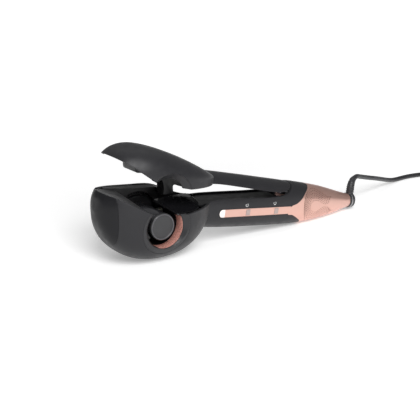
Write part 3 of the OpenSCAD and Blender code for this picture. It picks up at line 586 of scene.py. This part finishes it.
# ------------------------------------------------------------------ control strip
def shell(out, deep, x0=60, x1=165, m=60):
    a = grip(-out, x0, x1, m=m)
    return sub(a, grip(deep, x0 - 1, x1 + 1, m=m))
def cell(s0, s1, tall=20):
    return on_strip(prism([(0, -tall / 2), (s1 - s0, -tall / 2), (s1 - s0, tall / 2), (0, tall / 2)], -30, -10), s0)
sk = inter(shell(0.15, 1.9), stadium(0.0, -30, -10))
win = inter(dup(sk), cell(0, 6.1))
strip = inter(sk, cell(6.2, STRIP_L))
K1, K2, KW = 31.0, 65.5, 4.6
sub(strip, tail_zone(), cell(K1 - 0.2, K1 + KW + 0.2, STRIP_H - 1.4), cell(K2 - 0.2, K2 + KW + 0.2, STRIP_H - 1.4))
done(islands(strip, 0.05), "strip_face", M["rose_gold"], "root", "control_strip", slot="rose_gold")
done(win, "strip_window", M["light_window"], "root", "light_window", slot="light_window")
for k, nm, s in (("timer_key", "key_timer", K1), ("heat_key", "key_heat", K2)):
    kk = inter(shell(0.35, 1.9), cell(s, s + KW, STRIP_H - 1.8))
    done(kk, nm, M["key_grey"], k, k, slot="key_grey")

# ------------------------------------------------------------------ tail with its vents
TE = np.array([243.5, 0, -24.1]); TT = radians(7.8)
def on_tail(o):
    """from the tail's own axes (w along it, u down, y across) into place"""
    for v in o.data.vertices:
        u, y, w = v.co
        v.co = (TE[0] + w * cos(TT) - u * sin(TT), y, TE[2] - w * sin(TT) - u * cos(TT))
    o.data.update()
    return o
def zcyl(r, z0, z1, n=96, r1=None):
    r1 = r if r1 is None else r1
    return loft([[(rr * cos(2 * pi * i / n), rr * sin(2 * pi * i / n), z) for i in range(n)] for rr, z in ((r, z0), (r1, z1))])
tail = inter(grip(0, 140, 245, m=80), tail_zone(0.12))
tree_src = tail.data.copy()
sub(tail, grip(WALL, 139, 240.8, m=70),
    prism([(120, 4), (146, 1.6), (149.6, 2.2), (153, 3.4), (156, 5), (158.5, 7.2), (160.6, 9.4), (162, 12), (162.8, 16), (163, 20), (120, 20)], -40, 40),
    on_tail(box(-20, 20, -20, 20, 0, 10)), on_tail(zcyl(6.7, -12, 8)))
# rows of vent holes: an open horseshoe on each side
V0 = [(535, 300), (505, 298), (470, 278), (430, 250), (390, 225), (355, 205), (320, 193), (290, 203), (262, 235), (245, 280), (232, 330), (222, 390), (220, 450), (220, 510), (224, 560), (240, 588), (290, 582), (350, 562), (400, 540), (450, 515), (495, 490), (535, 460)]
V1 = [(505, 375), (470, 385), (440, 376), (415, 360), (390, 345), (362, 338), (338, 342), (318, 355), (303, 375), (293, 398), (288, 420), (290, 442), (298, 460), (312, 476), (335, 484), (360, 478), (385, 462), (410, 444), (435, 428), (460, 418), (485, 416), (510, 425)]
def lengthwise(p, n):
    p = np.array(p, float)
    d = np.concatenate([[0], np.cumsum(np.linalg.norm(np.diff(p, axis=0), axis=1))])
    s = np.linspace(0, d[-1], n)
    return np.stack([np.interp(s, d, p[:, k]) for k in range(2)], 1), d[-1]
bm = bmesh.new(); bm.from_mesh(tree_src)
tree = BVHTree.FromBMesh(bm); bm.free()
A, _ = lengthwise(fair(V0, 4), 400)
B, _ = lengthwise(fair(V1, 4), 400)
hv, hf = [], []
for r in range(6):
    t = r / 5
    line = A * (1 - t) + B * t
    n = int(lengthwise(line, 2)[1] / 21.5)
    pts, _ = lengthwise(line, n)
    off = 0.5 if r % 2 else 0.0
    for k in range(n - (1 if r % 2 else 0)):
        q = pts[k] * (1 - off) + pts[min(k + 1, n - 1)] * off
        d = ray(286 + q[0] / 12, 172 + q[1] / 12)
        hit = tree.ray_cast(Vector(CAM), Vector(d))
        if hit[0] is None: continue
        for side in (1, -1):
            c = np.array(hit[0]); nn = np.array(hit[1])
            if side < 0:
                c = c * [1, -1, 1]; nn = nn * [1, -1, 1]
            a1 = np.cross(nn, [0.1, 0.05, 1.0]); a1 /= np.linalg.norm(a1); a2 = np.cross(nn, a1)
            rad = 0.70 - 0.17 * t
            base = len(hv)
            for h in (1.0, -3.2):
                for i in range(12):
                    hv.append(c + nn * h + rad * (cos(2 * pi * i / 12) * a1 + sin(2 * pi * i / 12) * a2))
            for i in range(12):
                hf.append((base + i, base + (i + 1) % 12, base + 12 + (i + 1) % 12, base + 12 + i))
            hf.append(tuple(base + i for i in range(12))[::-1]); hf.append(tuple(base + 12 + i for i in range(12)))
bpy.data.meshes.remove(tree_src)
print("VENTS", len(hv) // 24, len(tail.data.vertices))
if hv:
    sub(tail, mk("t", hv, hf))
print("TAIL", len(tail.data.vertices))
done(islands(tail), "tail_cover", M["rose_gold"], "root", "tail_shell", slot="rose_gold")
screen = sub(grip(WALL + 0.2, 186, 228, m=30), grip(WALL + 1.0, 185, 229, m=30))
done(screen, "vent_mesh", M["liner_black"], "root", "vent_screen", slot="liner_black")

# ------------------------------------------------------------------ small printed marks (generic)

# ------------------------------------------------------------------ small marks
g_src = grip(0, 40, 243.5)
bm = bmesh.new(); bm.from_mesh(g_src.data)
gtree = BVHTree.FromBMesh(bm); bm.free(); drop(g_src)
e_src = egg(0)
bm = bmesh.new(); bm.from_mesh(e_src.data)
etree = BVHTree.FromBMesh(bm); bm.free(); drop(e_src)
def seen(px, py):
    hits = [h for h in (t.ray_cast(Vector(CAM), Vector(ray(px, py))) for t in (gtree, etree)) if h[0] is not None]
    if not hits: return None, None
    h = min(hits, key=lambda q: q[3])
    return np.array(h[0]), np.array(h[1])
def bead(pts, r, sink, n=10):
    P = [p for p in (seen(*q) for q in pts) if p[0] is not None]
    path = [p[0] - p[1] * sink for p in P]
    return path
def mark(px, py, r, thick, name):
    c, nn = seen(px, py)
    if c is None: return
    a1 = np.cross(nn, [0, 0, 1.0]); a1 /= np.linalg.norm(a1); a2 = np.cross(nn, a1)
    rings = []
    for i in range(33):
        t = radians(-240 + 300 * i / 32)
        rings.append([c + nn * h + (r + w) * (cos(t) * a1 - sin(t) * a2) for w, h in ((-thick, -0.2), (thick, -0.2), (thick, 0.03), (-thick, 0.03))])
    done(loft(rings), name, MX["print"], "root", slot="light_window")
mark(247.2, 205.2, 1.35, 0.2, "mark_timer")
mark(275.0, 203.2, 1.35, 0.2, "mark_heat")
# ------------------------------------------------------------------ lead
ROUTE = [(260.4, 5.35, -3.75), (264, 7, -3.5), (268.5, 8.9, -4.3), (274, 11, -6), (281, 13.6, -8.1), (291, 17.4, -11.1), (303, 22, -14.6), (316, 27.2, -18.4), (329, 32.2, -22.4), (342, 37, -26.4), (354, 41, -29.5), (365, 44, -31.2), (376, 45.8, -31.7), (388, 46.2, -31.7), (400, 44.8, -31.7), (412, 42, -31.7), (423, 39.8, -31.7), (432, 39.2, -31.7)]
CC = (432.0, 2.0)
RO, RM, RI = 32.9, 27.7, 22.5
Z = [-31.7 + 5.12 * i for i in range(4)]
CELLS = [(RO, Z[0]), (RM, Z[0]), (RI, Z[0]), (RI, Z[1]), (RI, Z[2]), (RI, Z[3]), (RM, Z[3]), (RO, Z[3]), (RO, Z[2]), (RM, Z[2]), (RM, Z[1]), (RO, Z[1])]
def coil_points():
    out = []
    n = 40
    for k in range(len(CELLS)):
        r0, z0 = CELLS[k]
        r1, z1 = CELLS[min(k + 1, len(CELLS) - 1)]
        steps = n if k < len(CELLS) - 1 else n // 2 + 1
        for i in range(steps):
            a = i / n                       # share of this turn, from angle 90 degrees, clockwise
            s = min(max((a - 0.72) / 0.28, 0), 1)
            s = s * s * (3 - 2 * s)
            r, z = r0 + (r1 - r0) * s, z0 + (z1 - z0) * s
            if k == 0:
                e = min(a / 0.34, 1)
                r = 37.2 + (r0 - 37.2) * (e * e * (3 - 2 * e))
            th = pi / 2 - 2 * pi * a
            out.append((CC[0] + r * cos(th), CC[1] + r * sin(th), z))
    return out
coil = coil_points()
tail_end_pts = [(425.5, -31.5, -26.7), (419.5, -33.2, -26.9), (414.2, -34.7, -27.2), (409.6, -35.3, -27.3)]
def chain(p, k):
    out = []
    P = [np.array(q, float) for q in p]
    for i in range(len(P) - 1):
        a, b, c, d = P[max(i - 1, 0)], P[i], P[i + 1], P[min(i + 2, len(P) - 1)]
        for j in range(k):
            t = j / k
            out.append(0.5 * (2 * b + (c - a) * t + (2 * a - 5 * b + 4 * c - d) * t * t + (3 * b - a - 3 * c + d) * t ** 3))
    out.append(P[-1])
    return out
whole = chain(ROUTE[:-1] + [coil[0]], 3)[:-1] + chain(coil, 1) + chain([coil[-1]] + tail_end_pts, 3)[1:]
whole = [np.array(p, float) for p in whole]
def tube(path, radius, n=16, cap_r=0.6):
    P = [np.array(p, float) for p in path]
    T = [P[min(i + 1, len(P) - 1)] - P[max(i - 1, 0)] for i in range(len(P))]
    T = [t / np.linalg.norm(t) for t in T]
    s = np.cross([0, 0, 1.0], T[0]); s /= np.linalg.norm(s)
    rings = []
    for i, (p, t) in enumerate(zip(P, T)):
        s = s - t * float(np.dot(s, t)); s /= np.linalg.norm(s)
        u = np.cross(t, s)
        r = radius(i) if callable(radius) else radius
        rings.append([p + r * (cos(2 * pi * k / n) * s + sin(2 * pi * k / n) * u) for k in range(n)])
    return loft(rings)
lead = done(tube(whole, 2.5), "lead", M["cord_rubber"], None, slot="cord_rubber", angle=60, merge=0.0001)
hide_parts("cord", "cord_coil", "cord_tail")

# strain relief: bends from the swivel to the way the lead leaves, with ribs
BOOT_C = [(248.2, 0, -20.7), (248.7, 0, -18.1), (249.1, 0, -15.6), (249.5, 0.05, -13.3), (249.9, 0.2, -11.2), (250.6, 0.5, -9.3), (251.5, 0.9, -7.7), (254.1, 2.2, -5.2), (257.2, 3.8, -4.2), (259.9, 5.1, -3.78)]
BOOT_R = [3.9, 4.1, 4.15, 4.15, 4.1, 4.0, 3.8, 3.4, 2.95, 2.75]
bp = chain(BOOT_C, 8)
br = [np.interp(i / 8, range(len(BOOT_R)), BOOT_R) for i in range(len(bp))]
def boot_radius(i):
    s = i / (len(bp) - 1)
    rib = 0.0
    if 0.10 < s < 0.93:
        ph = ((s - 0.10) / 0.83 * 7) % 1
        rib = 0.36 * min(1, max(0, (0.5 - abs(ph - 0.5) - 0.30) / 0.08))
    end = 0.35 * max(0, 1 - s / 0.03) + 0.45 * max(0, 1 - (1 - s) / 0.05)
    return br[i] - rib - end
boot = done(tube(bp, boot_radius, 40), "boot_ribbed", M["cord_rubber"], "swivel", "cord_boot", slot="cord_rubber", angle=40)

# plug: moulded body with rounded shoulders and a finger waist
def rrect(x, w, h, p, n=64):
    t = 2 * pi * np.arange(n) / n
    return np.stack([np.full(n, x), -35.3 + w * spow(np.cos(t), 2 / p), -27.3 + h * spow(np.sin(t), 2 / p)], 1)
prof = [(366.0, 16.0, 5.2, 5), (366.15, 16.8, 5.9, 5), (366.5, 17.3, 6.5, 5), (367.2, 17.55, 6.75, 5), (370, 17.6, 6.8, 5), (376, 17.6, 6.8, 4.6), (379, 17.3, 6.75, 4.2), (380.6, 16.6, 6.5, 4), (382, 15.2, 6.0, 3.6), (386, 12.4, 5.3, 3.2), (391, 8.6, 4.9, 2.8), (394, 6.4, 4.7, 2.4), (396, 5.0, 4.6, 2.1), (397, 4.5, 4.4, 2), (409.3, 3.25, 3.2, 2), (409.5, 2.9, 2.9, 2)]
fine = []
for (x0, w0, h0, p0), (x1, w1, h1, p1) in zip(prof[:-1], prof[1:]):
    k = 6 if x1 - x0 > 1.5 else 2
    for j in range(k):
        t = j / k
        x = x0 + (x1 - x0) * t
        w, h, p = w0 + (w1 - w0) * t, h0 + (h1 - h0) * t, p0 + (p1 - p0) * t
        if 397.5 < x < 409 and (x - 397.5) % 2.4 < 0.9:
            w, h = w - 0.35, h - 0.35
        fine.append(rrect(x, w, h, p))
fine.append(rrect(*prof[-1]))
plug = loft(fine)
for y in (-9.5, 9.5):
    c = loft([[(x, -35.3 + y + 2.02 * cos(2 * pi * i / 48), -27.3 + 2.02 * sin(2 * pi * i / 48)) for i in range(48)] for x in (360, 376)])
    sub(plug, c)
done(plug, "plug_moulded", M["plug_black"], "root", "plug_body", slot="plug_black", angle=40)
pins = []
for y in (-9.5, 9.5):
    pr = [(347.0, 0.05), (347.0, 0.9), (347.12, 1.25), (347.4, 1.6), (348.0, 1.9), (348.6, 2.0), (373, 2.0), (373, 0.05)]
    pins.append(loft([[(x, -35.3 + y + r * cos(2 * pi * i / 48), -27.3 + r * sin(2 * pi * i / 48)) for i in range(48)] for x, r in pr]))
join(pins[0], pins[1])
done(pins[0], "plug_prongs", M["pin_metal"], "root", "plug_pins", slot="pin_metal", angle=50)
# tie round the coil
ang = radians(20)
def tie_ring(k, n=48):
    r0, r1, z0, z1 = 20.6, 37.6, -34.15, -13.0
    cx, cz, hw, hh = (r0 + r1) / 2, (z0 + z1) / 2, (r1 - r0) / 2, (z1 - z0) / 2
    return [(cx + hw * spow(np.cos(t), 2 / 5.0), cz + hh * spow(np.sin(t), 2 / 5.0)) for t in 2 * pi * np.arange(n) / n]
outer_l = tie_ring(0)
rings = []
for th, off in ((-2.5, 0.0), (-2.2, 0.35), (2.2, 0.35), (2.5, 0.0), (2.5, -0.35), (-2.5, -0.35)):
    ring = []
    for r, z in outer_l:
        cx, cz = 29.1, -23.6
        d = hypot(r - cx, z - cz)
        rr, zz = cx + (r - cx) * (d + off) / d, cz + (z - cz) * (d + off) / d
        zz = max(zz, -34.18)
        ring.append((CC[0] + rr * cos(ang) - th * sin(ang), CC[1] + rr * sin(ang) + th * cos(ang), zz))
    rings.append(ring)
tie = loft(rings, closed=True)
done(tie, "tie_band", M["tie_grey"], "root", "cord_tie", slot="tie_grey")

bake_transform(lead)

# ------------------------------------------------------------------ floor and light
fm, ft, fb = nt("floor_paper")
n1 = noise(ft, 6.0, 3.0)
mx = ft.nodes.new("ShaderNodeMix"); mx.data_type = "RGBA"
mx.inputs[6].default_value = (0.90, 0.90, 0.90, 1); mx.inputs[7].default_value = (0.94, 0.94, 0.94, 1)
ft.links.new(ramp(ft, n1.outputs["Fac"], 0, 1), mx.inputs[0])
ft.links.new(mx.outputs[2], fb.inputs["Base Color"])
fb.inputs["Roughness"].default_value = 0.6
fb.inputs["Specular IOR Level"].default_value = 0.2
# painted light: the floor glows by its own emission, 0.30 near the object rising to 1.0 farther off
gl = ft.nodes.new("ShaderNodeTexCoord")
ln = ft.nodes.new("ShaderNodeVectorMath"); ln.operation = "LENGTH"
ft.links.new(gl.outputs["Object"], ln.inputs[0])
gr = ft.nodes.new("ShaderNodeMapRange"); gr.interpolation_type = "SMOOTHSTEP"
for k, v in (("From Min", 0.18), ("From Max", 0.8), ("To Min", 0.30), ("To Max", 1.0)):
    gr.inputs[k].default_value = v
ft.links.new(ln.outputs["Value"], gr.inputs["Value"])
fb.inputs["Emission Color"].default_value = (1, 1, 1, 1)
ft.links.new(gr.outputs["Result"], fb.inputs["Emission Strength"])
fme = bpy.data.meshes.new("floor")
R = 8.0
fme.from_pydata([(-R, -R, -0.0002), (R, -R, -0.0002), (R, R, -0.0002), (-R, R, -0.0002)], [], [(0, 1, 2, 3)])
floor = bpy.data.objects.new("floor", fme)
scene.collection.objects.link(floor)
fme.materials.append(fm)

def area(name, loc, target, size, power, sy=None):
    l = bpy.data.lights.new(name, "AREA")
    l.shape = "RECTANGLE"; l.size = size; l.size_y = sy or size
    l.energy = power
    o = bpy.data.objects.new(name, l)
    scene.collection.objects.link(o)
    o.location = loc
    o.rotation_euler = (Vector(target) - Vector(loc)).to_track_quat("-Z", "Y").to_euler()
    return o
area("key", (-0.38, -1.0, 0.95), (0, 0, 0.03), 0.8, 21)
area("top", (0.3, 0.5, 1.5), (0, 0, 0), 1.6, 4)

w = bpy.data.worlds.new("world"); scene.world = w
w.use_nodes = True
bg = w.node_tree.nodes["Background"]
bg.inputs["Color"].default_value = (1, 1, 1, 1)
bg.inputs["Strength"].default_value = 0.2
scene.view_settings.view_transform = "Standard"
scene.view_settings.look = "None"
